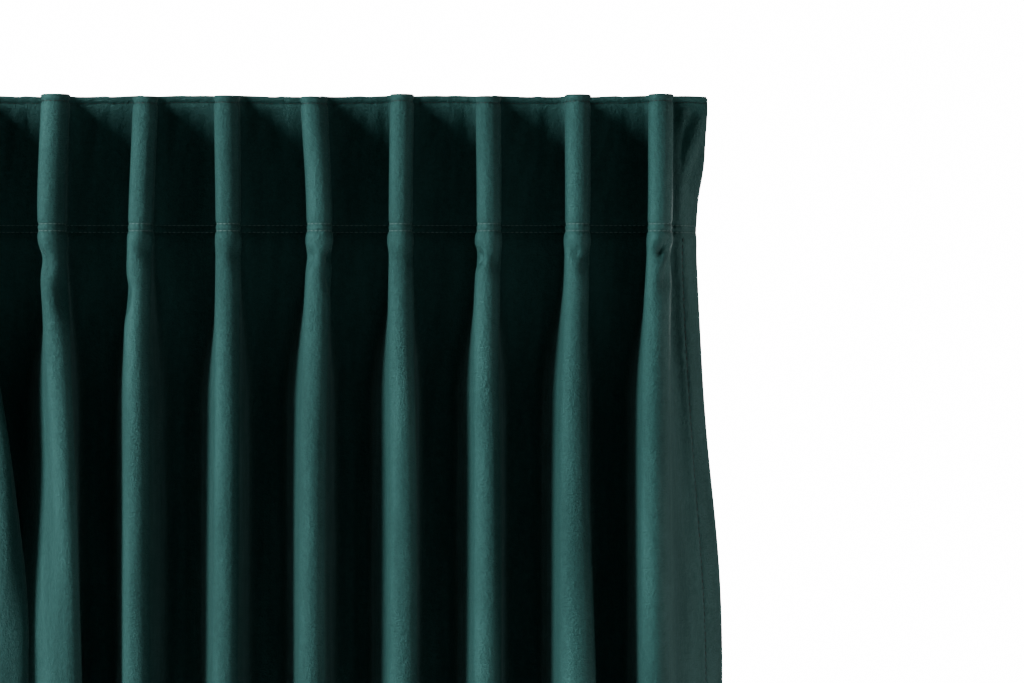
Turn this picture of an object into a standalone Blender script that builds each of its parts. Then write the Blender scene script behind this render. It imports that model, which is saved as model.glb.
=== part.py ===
"""A pleated velvet curtain panel with nine single pinch pleats on a pocketed heading tape, hung on
two-part adjustable hooks. Metres, +Z up, +X to the right seen from the front, front towards -Y.
The origin is the seat of the middle hook, where it rests on its glider."""

import math

import bmesh
import bpy
from mathutils import Vector

# Driving dimensions of the panel
PLEAT_COUNT = 9
PLEAT_PITCH = 0.0545
PLEAT_DEPTH = 0.038
CURTAIN_DROP = 2.50
TOP_ABOVE_SEAT = 0.025

# Velvet
CLOTH_THICKNESS = 0.0014
SHEET_GAP = 0.0003
JOIN_GAP = 0.36 * CLOTH_THICKNESS
JOIN_STRIP = 0.0012
NOSE_RADIUS = 0.0076
NECK_HALF_WIDTH = 0.0026
NECK_CORNER_RADIUS = 0.003
WING_WIDTH = 0.004
FOLD_NOSE_RADIUS = 0.0085
FOLD_VALLEY_RADIUS = 0.013
FOLD_COLUMN_HALF = 0.020
OPENING_LENGTH = 0.11
NARROWING_LENGTH = 0.07

# Ends of the panel beyond the outer pleats
FLAP_WIDTH = 0.0205
FLAP_CREASE_LENGTH = 0.008
FLAP_TURN_TOP = math.radians(6)
FLAP_TURN_BASE = math.radians(52)
FLAP_FLANK_UPPER = math.radians(62)
FLAP_FLANK_LOWER = math.radians(52)
FLARE_LENGTH = 0.29
SIDE_HEM_WIDTH = 0.018

# Heading tape
TAPE_HEIGHT = 0.080
TAPE_BELOW_TOP = 0.007
TAPE_THICKNESS = 0.0008
POCKET_HEIGHT = 0.022
POCKET_ABOVE_TAPE_BASE = 0.008
POCKET_WALL = 0.001
POCKET_FLANGE_HALF = 0.0082

# Two-part hook
STEM_WIDTH = 0.0052
STEM_THICKNESS = 0.0018
STEM_CLEARANCE = 0.0004
STEM_LENGTH_ABOVE_POCKET = 0.046
STEM_FOOT_HEIGHT = 0.004
TOOTH_DEPTH = 0.0008
TOOTH_PITCH = 0.0028
SLIDER_HEIGHT = 0.012
SLIDER_WALL = 0.0014
SLIDER_FRONT_WALL = 0.0008
HOOK_THICKNESS = 0.0026
HOOK_WIDTH = 0.004
THROAT_WIDTH = 0.0054
THROAT_DEPTH = 0.011


def solve(function, target, low, high):
    """The value between low and high where a rising function reaches the target."""
    for _ in range(60):
        middle = (low + high) / 2
        if function(middle) < target:
            low = middle
        else:
            high = middle
    return (low + high) / 2


def smooth(fraction):
    fraction = min(max(fraction, 0.0), 1.0)
    return fraction * fraction * (3 - 2 * fraction)


def mix(first, second, share):
    return first + (second - first) * share


def walk(segments, distance):
    """The point this far along a path of (length, turn) arcs that starts at a pleat's nose,
    with its heading there: 0 is towards the side, a right angle is towards the back."""
    x, y, heading = 0.0, -PLEAT_DEPTH, 0.0
    for length, turn in segments:
        step = min(distance, length)
        bend = turn * step / length
        if turn:
            radius = length / turn
            x += radius * (math.sin(heading + bend) - math.sin(heading))
            y -= radius * (math.cos(heading + bend) - math.cos(heading))
        else:
            x += step * math.cos(heading)
            y += step * math.sin(heading)
        heading += bend
        distance -= step
        if distance <= 0:
            break
    return x, y, heading


def flank_length(turn):
    return (PLEAT_DEPTH - (NOSE_RADIUS + NECK_CORNER_RADIUS) * (1 - math.cos(turn))) / math.sin(turn)


def neck_closing(turn):
    """How far the flanks lean in from the nose's width to the neck, for this turn of the nose."""
    inward = NOSE_RADIUS * (1 - math.sin(turn)) - flank_length(turn) * math.cos(turn)
    return inward + NECK_CORNER_RADIUS * (1 - math.sin(turn))


NOSE_TURN = solve(neck_closing, NOSE_RADIUS - NECK_HALF_WIDTH, math.pi / 2, math.radians(120))
NECK_PATH = [
    (NOSE_RADIUS * NOSE_TURN, NOSE_TURN),
    (flank_length(NOSE_TURN), 0),
    (NECK_CORNER_RADIUS * NOSE_TURN, -NOSE_TURN),
]
NECK_END = sum(length for length, _ in NECK_PATH)
WING_X = walk(NECK_PATH, NECK_END)[0] + WING_WIDTH
HEAD_SPLIT = NECK_END + WING_WIDTH
HALF_CLOTH = HEAD_SPLIT + PLEAT_PITCH / 2 - WING_X
FLAP_CLOTH = HEAD_SPLIT + FLAP_WIDTH


def fold_path(rise):
    """Nose arc, straight flank and valley arc, when the valley's centre lies this far behind the
    nose's centre."""
    radii = FOLD_NOSE_RADIUS + FOLD_VALLEY_RADIUS
    apart = math.hypot(PLEAT_PITCH / 2, rise)
    turn = math.atan2(rise, PLEAT_PITCH / 2) + math.asin(radii / apart)
    straight = math.sqrt(apart**2 - radii**2)
    return [(FOLD_NOSE_RADIUS * turn, turn), (straight, 0), (FOLD_VALLEY_RADIUS * turn, -turn)]


def fold_length(rise):
    return sum(length for length, _ in fold_path(rise))


FOLD_RISE = solve(fold_length, HALF_CLOTH, 0.001, 0.2)
Z_TOP = TOP_ABOVE_SEAT
Z_TAPE_TOP = Z_TOP - TAPE_BELOW_TOP
Z_BASE = Z_TAPE_TOP - TAPE_HEIGHT
Z_BOTTOM = Z_TOP - CURTAIN_DROP
TAPE_STAND_OFF = CLOTH_THICKNESS / 2 + SHEET_GAP + TAPE_THICKNESS / 2
TAPE_EDGES = (Z_TAPE_TOP, Z_BASE)
POCKET_BASE = Z_BASE + POCKET_ABOVE_TAPE_BASE
POCKET_SPAN = (POCKET_BASE, POCKET_BASE + POCKET_HEIGHT)


def opened(z):
    """0 in the sewn header and 1 where the pleat has opened into a free fold."""
    return smooth((Z_BASE - z) / OPENING_LENGTH)


def narrowed(z):
    """0 down to where the pleat has opened, and 1 where its stiff column is at its narrowest."""
    return smooth((Z_BASE - OPENING_LENGTH - z) / NARROWING_LENGTH)


def split_at(z):
    """Distance from the nose at which the stiff pleat column ends and the loose bay begins."""
    return mix(HEAD_SPLIT, FOLD_COLUMN_HALF, narrowed(z))


def blended(head_path, low_path, distance, z, stand_off):
    """A point of the cloth at this height, this far from the nose, moved towards the back."""
    head = walk(head_path, distance)
    low = walk(low_path, distance)
    share = opened(z)
    x = mix(head[0], low[0], share)
    y = mix(head[1], low[1], share)
    heading = mix(head[2], low[2], share)
    return x - stand_off * math.sin(heading), y + stand_off * math.cos(heading)


def pleat_point(distance, z, stand_off=0.0):
    """Cloth between a nose and the middle of the bay. A negative distance is left of the nose."""
    side = -1 if distance < 0 else 1
    head_path = NECK_PATH + [(PLEAT_PITCH, 0)]
    x, y = blended(head_path, fold_path(FOLD_RISE), abs(distance), z, stand_off)
    return side * x, y


def first_part(segments, length):
    """The start of a path, up to this length."""
    kept = []
    for segment, turn in segments:
        step = min(segment, length)
        if step > 0:
            kept.append((step, turn * step / segment))
        length -= step
    return kept


def flap_point(distance, z, stand_off=0.0):
    """Cloth between the nose of an outer pleat and the panel's edge."""
    down = smooth((Z_TOP - z) / (Z_TOP - Z_BASE))
    flare = smooth((Z_BASE - z) / FLARE_LENGTH)
    turn = mix(FLAP_TURN_TOP, FLAP_TURN_BASE, down)
    flank = mix(FLAP_FLANK_UPPER, FLAP_FLANK_LOWER, flare)
    column_head = first_part([*NECK_PATH, (PLEAT_PITCH, 0)], split_at(z))
    column_low = first_part(fold_path(FOLD_RISE), split_at(z))
    bend = flank - sum(turned for _, turned in column_low)
    head_path = [*column_head, (FLAP_CREASE_LENGTH, turn), (FLAP_CLOTH, 0)]
    low_path = [*column_low, (FLAP_CREASE_LENGTH, bend), (FLAP_CLOTH, 0)]
    return blended(head_path, low_path, distance, z, stand_off)


def collection(name, hidden=False):
    made = bpy.data.collections.new(name)
    made.hide_render = hidden
    bpy.context.scene.collection.children.link(made)
    return made


def material(name, colour, roughness):
    made = bpy.data.materials.new(name)
    made.use_nodes = True
    shader = made.node_tree.nodes["Principled BSDF"]
    shader.inputs["Base Color"].default_value = (*colour, 1)
    shader.inputs["Roughness"].default_value = roughness
    shader.inputs["Metallic"].default_value = 0
    return made


def grid_mesh(name, columns, heights, point):
    """An open surface through point(column, z), which faces the front."""
    shape = bmesh.new()
    rows = []
    for z in heights:
        rows.append([shape.verts.new((*point(column, z), z)) for column in columns])
    for upper, lower in zip(rows, rows[1:]):
        for i in range(len(columns) - 1):
            shape.faces.new((lower[i], lower[i + 1], upper[i + 1], upper[i]))
    mesh = bpy.data.meshes.new(name)
    shape.to_mesh(mesh)
    shape.free()
    return mesh


def box_mesh(name, low, high):
    shape = bmesh.new()
    bmesh.ops.create_cube(shape, size=1)
    size = Vector(high) - Vector(low)
    bmesh.ops.scale(shape, vec=size, verts=shape.verts)
    bmesh.ops.translate(shape, vec=Vector(low) + size / 2, verts=shape.verts)
    mesh = bpy.data.meshes.new(name)
    shape.to_mesh(mesh)
    shape.free()
    return mesh


def place(name, mesh, parent, finish):
    """A named piece in the frame of its parent."""
    piece = bpy.data.objects.new(name, mesh)
    piece.parent = parent
    if not mesh.materials:
        mesh.materials.append(finish)
    panel.objects.link(piece)
    return piece


def thicken(piece, thickness):
    wall = piece.modifiers.new("Thickness", "SOLIDIFY")
    wall.thickness = thickness
    wall.offset = 0
    wall.use_even_offset = True


def helper(mesh):
    piece = bpy.data.objects.new(mesh.name, mesh)
    piece.display_type = "WIRE"
    piece.hide_render = True
    cutters.objects.link(piece)
    return piece


def cut(piece, operation, other):
    step = piece.modifiers.new(other.name, "BOOLEAN")
    step.operation = operation
    step.solver = "EXACT"
    step.object = other


def baked(name, piece):
    """The evaluated shape as a mesh of its own, with the caps of a curve welded to its sides."""
    bpy.context.view_layer.update()
    graph = bpy.context.evaluated_depsgraph_get()
    mesh = bpy.data.meshes.new_from_object(piece.evaluated_get(graph))
    mesh.name = name
    mesh.transform(piece.matrix_world)
    mesh.materials.clear()
    shape = bmesh.new()
    shape.from_mesh(mesh)
    bmesh.ops.remove_doubles(shape, verts=shape.verts, dist=1e-6)
    shape.to_mesh(mesh)
    shape.free()
    return mesh


def outline_mesh(name, outline, width):
    """A side profile of (y, z) points, extruded across X."""
    curve = bpy.data.curves.new(name, "CURVE")
    curve.dimensions = "2D"
    curve.fill_mode = "BOTH"
    curve.extrude = width / 2
    spline = curve.splines.new("POLY")
    spline.points.add(len(outline) - 1)
    for spot, (y, z) in zip(spline.points, outline):
        spot.co = (y, z, 0, 1)
    spline.use_cyclic_u = True
    piece = bpy.data.objects.new(name, curve)
    piece.rotation_euler = (math.pi / 2, 0, math.pi / 2)
    panel.objects.link(piece)
    mesh = baked(name, piece)
    bpy.data.objects.remove(piece)
    return mesh


def pleat_x(number):
    return (number - (PLEAT_COUNT + 1) / 2) * PLEAT_PITCH


def cloth_heights():
    """Rows of the cloth: close together where the header opens, far apart down the drop."""
    open_z = Z_BASE - OPENING_LENGTH
    narrow_z = open_z - NARROWING_LENGTH
    half_open_z = mix(Z_BASE, open_z, 0.4)
    return [Z_TOP, Z_BASE, half_open_z, open_z, narrow_z, mix(narrow_z, Z_BOTTOM, 0.3), Z_BOTTOM]


def flap_tape_heights():
    return [mix(Z_TAPE_TOP, Z_BASE, share) for share in (0, 0.35, 0.7, 1)]


def flap_heights():
    """The flap's rows pass through those of its tape and of the pleat beside it, so that the
    layers keep their gaps."""
    heights = {*cloth_heights(), *flap_tape_heights(), Z_BASE - FLARE_LENGTH}
    return sorted(heights, reverse=True)


def pleat_stations():
    """Distances from the nose in the header, at the ends and middles of its arcs. The last strip
    is narrow, so that the sheet's edge faces square to the sheet it meets."""
    nose, flank, corner = (length for length, _ in NECK_PATH)
    arcs = [0, nose / 2, nose, nose + flank, nose + flank + corner / 2, NECK_END]
    return [*arcs, HEAD_SPLIT - JOIN_STRIP, HEAD_SPLIT]


def station_at(index, z):
    """A station's distance from the nose at this height, pulled in at the sheet's edge."""
    stations = pleat_stations()
    last = len(stations) - 1
    place_in_row = abs(index)
    if place_in_row >= last - 1:
        distance = split_at(z) - (JOIN_GAP / 2 if place_in_row == last else JOIN_STRIP)
    else:
        low = (FOLD_COLUMN_HALF - JOIN_STRIP) * place_in_row / (last - 1)
        distance = mix(stations[place_in_row], low, narrowed(z))
    return math.copysign(distance, index)


def pleat_mesh():
    last = len(pleat_stations()) - 1
    columns = range(-last, last + 1)
    return grid_mesh(
        "pleat_cloth",
        columns,
        cloth_heights(),
        lambda index, z: pleat_point(station_at(index, z), z),
    )


def bay_point(share, z, stand_off=0.0):
    """Cloth from one pleat's column (share -2) past the middle of the bay (0) to the next (2).
    Beyond 1 and -1 lies the narrow strip at the sheet's edge."""
    edge = split_at(z)
    if abs(share) > 1:
        distance = mix(edge + JOIN_STRIP, edge + JOIN_GAP / 2, abs(share) - 1)
    else:
        distance = mix(HALF_CLOTH, edge + JOIN_STRIP, abs(share))
    x, y = pleat_point(distance, z, stand_off)
    return math.copysign(PLEAT_PITCH / 2 - x, share), y


def bay_mesh():
    steps = 5
    inner = [index / steps for index in range(-steps, steps + 1)]
    return grid_mesh("bay_cloth", [-2, *inner, 2], cloth_heights(), bay_point)


def hem_stations(first, last):
    steps = 6
    return [mix(first, last, index / steps) for index in range(steps + 1)]


def flap_strip(name, side, stations, heights, stand_off):
    """A strip of the flap through stations(z), its distances from the nose. side is -1 at the
    left end."""

    def point(index, z):
        x, y = flap_point(stations(z)[index], z, stand_off)
        return side * x, y

    columns = range(len(stations(Z_TOP)))
    return grid_mesh(name, columns if side > 0 else columns[::-1], heights, point)


def tape_pleat_mesh():
    """The tape inside a pleat, with the pocket that is woven across the neck behind it."""
    stations = pleat_stations()
    stations[-1] -= JOIN_GAP / 2
    columns = [-distance for distance in stations[:0:-1]] + stations
    strip = helper(grid_mesh(
        "tape_strip",
        columns,
        TAPE_EDGES,
        lambda distance, z: pleat_point(distance, z, TAPE_STAND_OFF),
    ))
    thicken(strip, TAPE_THICKNESS)
    low, high = POCKET_SPAN
    back = TAPE_STAND_OFF + TAPE_THICKNESS / 4
    flange = helper(box_mesh(
        "pocket_flange",
        (-POCKET_FLANGE_HALF, back, low),
        (POCKET_FLANGE_HALF, STEM_FRONT - STEM_CLEARANCE, high),
    ))
    half = STEM_WIDTH / 2 + STEM_CLEARANCE
    rear = STEM_FRONT + STEM_THICKNESS + STEM_CLEARANCE
    loop = helper(box_mesh(
        "pocket_loop",
        (-half - POCKET_WALL, back + TAPE_THICKNESS / 4, low),
        (half + POCKET_WALL, rear + POCKET_WALL, high),
    ))
    passage = helper(box_mesh(
        "pocket_passage",
        (-half, STEM_FRONT - STEM_CLEARANCE, low - POCKET_WALL),
        (half, rear, high + POCKET_WALL),
    ))
    cut(strip, "UNION", flange)
    cut(strip, "UNION", loop)
    cut(strip, "DIFFERENCE", passage)
    return baked("tape_in_pleat", strip)


TAPE_BACK = TAPE_STAND_OFF + TAPE_THICKNESS / 2
STEM_FRONT = TAPE_BACK + 2 * STEM_CLEARANCE + SLIDER_FRONT_WALL
THROAT_FRONT = STEM_FRONT + STEM_THICKNESS + TOOTH_DEPTH + STEM_CLEARANCE + SLIDER_WALL


def stem_mesh():
    """A toothed strip with a foot under the pocket. The teeth start just above the pocket."""
    low, high = POCKET_SPAN
    front, back = STEM_FRONT, STEM_FRONT + STEM_THICKNESS
    crest = back + TOOTH_DEPTH
    foot_top = low - SHEET_GAP
    foot_low = foot_top - STEM_FOOT_HEIGHT
    outline = [(front, foot_low), (crest, foot_low), (crest + TOOTH_DEPTH, foot_top), (back, foot_top)]
    shoulder = high + SHEET_GAP
    top = shoulder + STEM_LENGTH_ABOVE_POCKET
    outline += [(back, shoulder)]
    for index in range(int(STEM_LENGTH_ABOVE_POCKET / TOOTH_PITCH)):
        start = shoulder + index * TOOTH_PITCH
        outline += [(crest, start), (back, start + 0.8 * TOOTH_PITCH)]
    outline += [(back, top), (front, top)]
    return outline_mesh("hook_stem", outline, STEM_WIDTH)


def slider_mesh():
    """A sleeve that clips round the stem, with a hook behind it whose seat is at height zero."""
    slot_front = STEM_FRONT - STEM_CLEARANCE
    slot_back = THROAT_FRONT - SLIDER_WALL
    throat_back = THROAT_FRONT + THROAT_WIDTH
    tip_back = throat_back + HOOK_THICKNESS
    low = HOOK_THICKNESS - SLIDER_HEIGHT
    outline = [
        (slot_back + SLIDER_WALL / 2, low),
        (THROAT_FRONT, low),
        (THROAT_FRONT, 0),
        (throat_back, 0),
        (throat_back, -THROAT_DEPTH + HOOK_THICKNESS / 2),
        (throat_back + HOOK_THICKNESS / 2, -THROAT_DEPTH),
        (tip_back, -THROAT_DEPTH + HOOK_THICKNESS / 2),
        (tip_back, HOOK_THICKNESS / 2),
        (tip_back - HOOK_THICKNESS / 2, HOOK_THICKNESS),
        (slot_back + SLIDER_WALL / 2, HOOK_THICKNESS),
    ]
    hook = helper(outline_mesh("hook_arm", outline, HOOK_WIDTH))
    half = STEM_WIDTH / 2 + STEM_CLEARANCE
    sleeve = helper(box_mesh(
        "hook_sleeve",
        (-half - SLIDER_WALL, slot_front - SLIDER_FRONT_WALL, low),
        (half + SLIDER_WALL, THROAT_FRONT, HOOK_THICKNESS),
    ))
    passage = helper(box_mesh(
        "sleeve_passage",
        (-half, slot_front, low - SLIDER_WALL),
        (half, slot_back, HOOK_THICKNESS + SLIDER_WALL),
    ))
    cut(hook, "UNION", sleeve)
    cut(hook, "DIFFERENCE", passage)
    return baked("hook_slider", hook)


for old in list(bpy.data.objects):
    bpy.data.objects.remove(old)

panel = collection("pleated_curtain_panel")
cutters = collection("cutters", hidden=True)
velvet = material("green velvet", (0.012, 0.052, 0.046), 0.85)
woven_tape = material("heading tape", (0.62, 0.62, 0.58), 0.9)
hook_plastic = material("hook plastic", (0.82, 0.82, 0.80), 0.4)

pleat_cloth = pleat_mesh()
bay_cloth = bay_mesh()
tape_in_pleat = tape_pleat_mesh()
tape_in_bay = grid_mesh(
    "tape_in_bay", [-2, 2], TAPE_EDGES, lambda share, z: bay_point(share, z, TAPE_STAND_OFF)
)
stem = stem_mesh()
slider = slider_mesh()


def frame_at(name, x):
    """An empty on the header's plane, which lies in front of the hook seats, at their height."""
    spot = bpy.data.objects.new(name, None)
    spot.location = (x, -THROAT_FRONT - THROAT_WIDTH / 2, 0)
    panel.objects.link(spot)
    return spot


def build_pleat(number):
    spot = frame_at(f"pleat_{number}_frame", pleat_x(number))
    thicken(place(f"pleat_{number}", pleat_cloth, spot, velvet), CLOTH_THICKNESS)
    place(f"tape_pleat_{number}", tape_in_pleat, spot, woven_tape)
    place(f"hook_stem_{number}", stem, spot, hook_plastic)
    place(f"hook_slider_{number}", slider, spot, hook_plastic)
    return spot


def build_bay(number):
    spot = frame_at(f"bay_{number}_frame", pleat_x(number) + PLEAT_PITCH / 2)
    thicken(place(f"bay_{number}", bay_cloth, spot, velvet), CLOTH_THICKNESS)
    thicken(place(f"tape_bay_{number}", tape_in_bay, spot, woven_tape), TAPE_THICKNESS)


def build_end(side_name, side, spot):
    """The flap beyond an outer pleat, its turned side hem and the tape's folded end over it."""
    hem = hem_stations(FLAP_CLOTH - SIDE_HEM_WIDTH, FLAP_CLOTH)
    tape = hem[:-1] + [FLAP_CLOTH - JOIN_GAP]
    hem_off = CLOTH_THICKNESS + JOIN_GAP
    layers = [
        ("flap", lambda z: [split_at(z) + JOIN_GAP / 2, *hem], flap_heights(), 0),
        ("side_hem", lambda z: hem, flap_heights(), hem_off),
    ]
    for layer, stations, heights, stand_off in layers:
        name = f"{side_name}_{layer}"
        cloth = flap_strip(f"{name}_cloth", side, stations, heights, stand_off)
        thicken(place(name, cloth, spot, velvet), CLOTH_THICKNESS)
    tape_cloth = flap_strip(
        f"{side_name}_tape_strip",
        side,
        lambda z: tape,
        flap_tape_heights(),
        hem_off + TAPE_STAND_OFF + SHEET_GAP,
    )
    thicken(place(f"tape_{side_name}_end", tape_cloth, spot, woven_tape), TAPE_THICKNESS)


frames = [build_pleat(number) for number in range(1, PLEAT_COUNT + 1)]
for number in range(1, PLEAT_COUNT):
    build_bay(number)
build_end("left", -1, frames[0])
build_end("right", 1, frames[-1])
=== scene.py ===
"""A green velvet curtain panel with single pinch pleats, its heading tape, hooks and sewing, built
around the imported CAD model. Metres, +Z up, front towards -Y."""

import math

import bmesh
import bpy
import numpy as np
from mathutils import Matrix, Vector, noise


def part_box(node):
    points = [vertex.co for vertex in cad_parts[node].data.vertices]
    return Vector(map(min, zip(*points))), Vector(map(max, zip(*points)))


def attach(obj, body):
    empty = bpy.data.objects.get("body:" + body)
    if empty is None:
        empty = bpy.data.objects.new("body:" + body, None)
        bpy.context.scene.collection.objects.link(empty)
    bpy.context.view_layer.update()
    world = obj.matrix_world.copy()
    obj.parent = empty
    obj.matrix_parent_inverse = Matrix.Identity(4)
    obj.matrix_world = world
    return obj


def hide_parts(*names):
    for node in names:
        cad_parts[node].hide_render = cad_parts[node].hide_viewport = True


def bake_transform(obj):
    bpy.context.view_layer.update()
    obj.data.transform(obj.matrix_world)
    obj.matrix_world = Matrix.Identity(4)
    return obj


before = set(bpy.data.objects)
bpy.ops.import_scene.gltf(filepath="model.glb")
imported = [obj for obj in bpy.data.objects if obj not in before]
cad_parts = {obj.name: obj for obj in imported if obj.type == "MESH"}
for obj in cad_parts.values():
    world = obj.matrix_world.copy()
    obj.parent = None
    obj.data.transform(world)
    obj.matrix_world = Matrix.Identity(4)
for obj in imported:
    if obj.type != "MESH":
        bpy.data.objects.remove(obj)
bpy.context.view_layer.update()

# ---------------------------------------------------------------------------------------------
# THE VELVET. One width of cotton velvet, cut with allowances, whose side, foot and top edges are
# turned to the back. Nine single pinch pleats are sewn into its head, and below the heading each
# pleat opens into a free fold that hangs to the floor, no two quite alike.
# ---------------------------------------------------------------------------------------------
PLEATS = 9
CLOTH = 0.0014
LAYER_GAP = 0.0005
LAYER = CLOTH + LAYER_GAP
PLEAT_DEPTH = 0.038
NOSE_RADIUS = 0.0076
NECK_HALF = 0.0036  # half a pleat's width where it is pinched
NECK_CORNER = 0.0065
WING = 0.0002  # flat cloth between a pleat's foot and its bay
FOLD_NOSE_RADIUS = 0.0078
FOLD_VALLEY_RADIUS = 0.013
COLUMN_HALF = 0.020  # cloth on each side of a nose that hangs with its own fold
OPENING = 0.11  # the height over which a pleat opens into its fold
FLAP_WIDTH = 0.0205
FLAP_CREASE = 0.008
FLAP_TURNS = (math.radians(5), math.radians(55))  # at the top and the foot of the heading
FLAP_FLANK = math.radians(43)  # how steeply it runs back to the edge in the free fall
FLARE = 0.29  # the height over which the flap spreads
SIDE_HEM = 0.018
SIDE_STITCH_IN = 0.0155
FOOT_HEM = 0.090
TOP_TURN = 0.0062

pleat_boxes = [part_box(f"pleat_{number}") for number in range(1, PLEATS + 1)]
pleat_x = np.array([(low.x + high.x) / 2 for low, high in pleat_boxes])
PITCH = (pleat_x[-1] - pleat_x[0]) / (PLEATS - 1)
Z_TOP = pleat_boxes[0][1].z
Z_FOOT = pleat_boxes[0][0].z
HEAD_Y = pleat_boxes[0][0].y + CLOTH / 2 + PLEAT_DEPTH
Z_TAPE_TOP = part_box("tape_pleat_1")[1].z
Z_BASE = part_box("tape_pleat_1")[0].z


def solve(function, target, low, high):
    """The value between low and high where a rising function reaches the target."""
    for _ in range(60):
        middle = (low + high) / 2
        if function(middle) < target:
            low = middle
        else:
            high = middle
    return (low + high) / 2


def smooth(share):
    share = np.clip(share, 0.0, 1.0)
    return share * share * (3 - 2 * share)


def mix(first, second, share):
    return first + (second - first) * share


def flank_length(turn):
    return (PLEAT_DEPTH - (NOSE_RADIUS + NECK_CORNER) * (1 - math.cos(turn))) / math.sin(turn)


def neck_closing(turn):
    """How far the flanks lean in from the nose to the neck, for this turn of the nose."""
    inward = NOSE_RADIUS * (1 - math.sin(turn)) - flank_length(turn) * math.cos(turn)
    return inward + NECK_CORNER * (1 - math.sin(turn))


def walk(segments, distance):
    """Points this far along a path of (length, turn) arcs from a pleat's nose, and the heading
    there: 0 is towards the side, a right angle is towards the back."""
    left = np.array(distance, float)
    x = np.zeros_like(left)
    y = np.full_like(left, -PLEAT_DEPTH)
    heading = np.zeros_like(left)
    for length, turn in segments:
        step = np.clip(left, 0, length)
        bend = turn * step / length
        if turn:
            radius = length / turn
            x += radius * (np.sin(heading + bend) - np.sin(heading))
            y -= radius * (np.cos(heading + bend) - np.cos(heading))
        else:
            x += step * np.cos(heading)
            y += step * np.sin(heading)
        heading += bend
        left -= step
    return x, y, heading


NOSE_TURN = solve(neck_closing, NOSE_RADIUS - NECK_HALF, math.pi / 2, math.radians(120))
NECK_PATH = [
    (NOSE_RADIUS * NOSE_TURN, NOSE_TURN),
    (flank_length(NOSE_TURN), 0),
    (NECK_CORNER * NOSE_TURN, -NOSE_TURN),
]
NECK_END = sum(length for length, _ in NECK_PATH)
HEAD_PATH = NECK_PATH + [(PITCH, 0)]
HEAD_SPLIT = NECK_END + WING
WING_X = float(walk(HEAD_PATH, HEAD_SPLIT)[0])
HALF_CLOTH = HEAD_SPLIT + PITCH / 2 - WING_X
FLAP_CLOTH = HEAD_SPLIT + FLAP_WIDTH
SIDE_HEM_START = FLAP_CLOTH - SIDE_HEM
SIDE_SEAM = FLAP_CLOTH - SIDE_STITCH_IN


def fold_path(rise):
    """Nose arc, flank and valley arc of a free fold whose valley lies this far behind its nose."""
    radii = FOLD_NOSE_RADIUS + FOLD_VALLEY_RADIUS
    apart = math.hypot(PITCH / 2, rise)
    turn = math.atan2(rise, PITCH / 2) + math.asin(radii / apart)
    straight = math.sqrt(apart**2 - radii**2)
    return [(FOLD_NOSE_RADIUS * turn, turn), (straight, 0), (FOLD_VALLEY_RADIUS * turn, -turn)]


def path_length(path):
    return sum(length for length, _ in path)


FOLD_RISE = solve(lambda rise: path_length(fold_path(rise)), HALF_CLOTH, 0.001, 0.2)
FOLD_PATH = fold_path(FOLD_RISE)


def first_part(segments, length):
    """The start of a path, up to this length."""
    kept = []
    for segment, turn in segments:
        step = min(segment, length)
        if step > 0:
            kept.append((step, turn * step / segment))
        length -= step
    return kept


def opened(z):
    """0 in the sewn heading and 1 where the pleat has opened into a free fold."""
    return smooth((Z_BASE - z) / OPENING)


def flap_paths(z):
    """Paths from an outer pleat's nose to the panel's edge, in the heading and in the free fall."""
    down = float(smooth((Z_TOP - z) / (Z_TOP - Z_BASE)))
    column_low = first_part(FOLD_PATH, COLUMN_HALF)
    bend = FLAP_FLANK - sum(turned for _, turned in column_low)
    head = [*HEAD_PATH[:-1], (WING, 0), (FLAP_CREASE, mix(*FLAP_TURNS, down)), (2 * FLAP_CLOTH, 0)]
    low = [*column_low, (FLAP_CREASE, bend), (2 * FLAP_CLOTH, 0)]
    return head, low


# How each pleat hangs, in millimetres, at these depths below the top: how far its nose leans to
# the right, and how wide its nose is against an even fold.
HANG_DEPTHS = (0.0, 0.081, 0.15, 0.22, 0.37, 0.9, 1.6, 2.5)
LEANS = (
    (0, -1, 5, 14, 15, 9, 3, 4),
    (-1, -4, 1, 5, 9, 5, -2, -5),
    (2, -2, -4, -4, -4, 1, 4, 2),
    (-2, -1, -1, -1, -2, -4, 0, 3),
    (-1.5, 3, 1, -1, -2, 2, 3, -3),
    (0, -1, 0, 1.5, 2, -2, -4, 0),
    (0, 0.6, -1, 0, 0, 3, 1, 4),
    (2.5, 2.5, 1, 0.5, 3, 0, -3, -4),
    (0, -0.6, -3, -4, -4, -2, 2, -2),
)
WIDTHS = (
    (1.0, 1.0, 1.2, 1.9, 2.0, 1.7, 1.3, 1.5),
    (1.15, 1.1, 1.05, 1.0, 1.15, 1.3, 1.4, 1.7),
    (0.95, 0.95, 1.0, 1.02, 1.1, 1.2, 1.5, 1.4),
    (1.0, 0.95, 0.98, 1.0, 1.05, 1.3, 1.3, 1.6),
    (1.05, 1.0, 1.02, 1.05, 1.1, 1.2, 1.5, 1.4),
    (0.9, 0.9, 1.0, 1.05, 1.12, 1.4, 1.2, 1.5),
    (0.98, 0.95, 1.0, 1.05, 1.15, 1.2, 1.4, 1.6),
    (1.0, 0.95, 0.98, 1.1, 1.55, 1.5, 1.3, 1.4),
    (0.95, 0.95, 1.05, 1.1, 1.1, 1.3, 1.5, 1.5),
)
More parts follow.
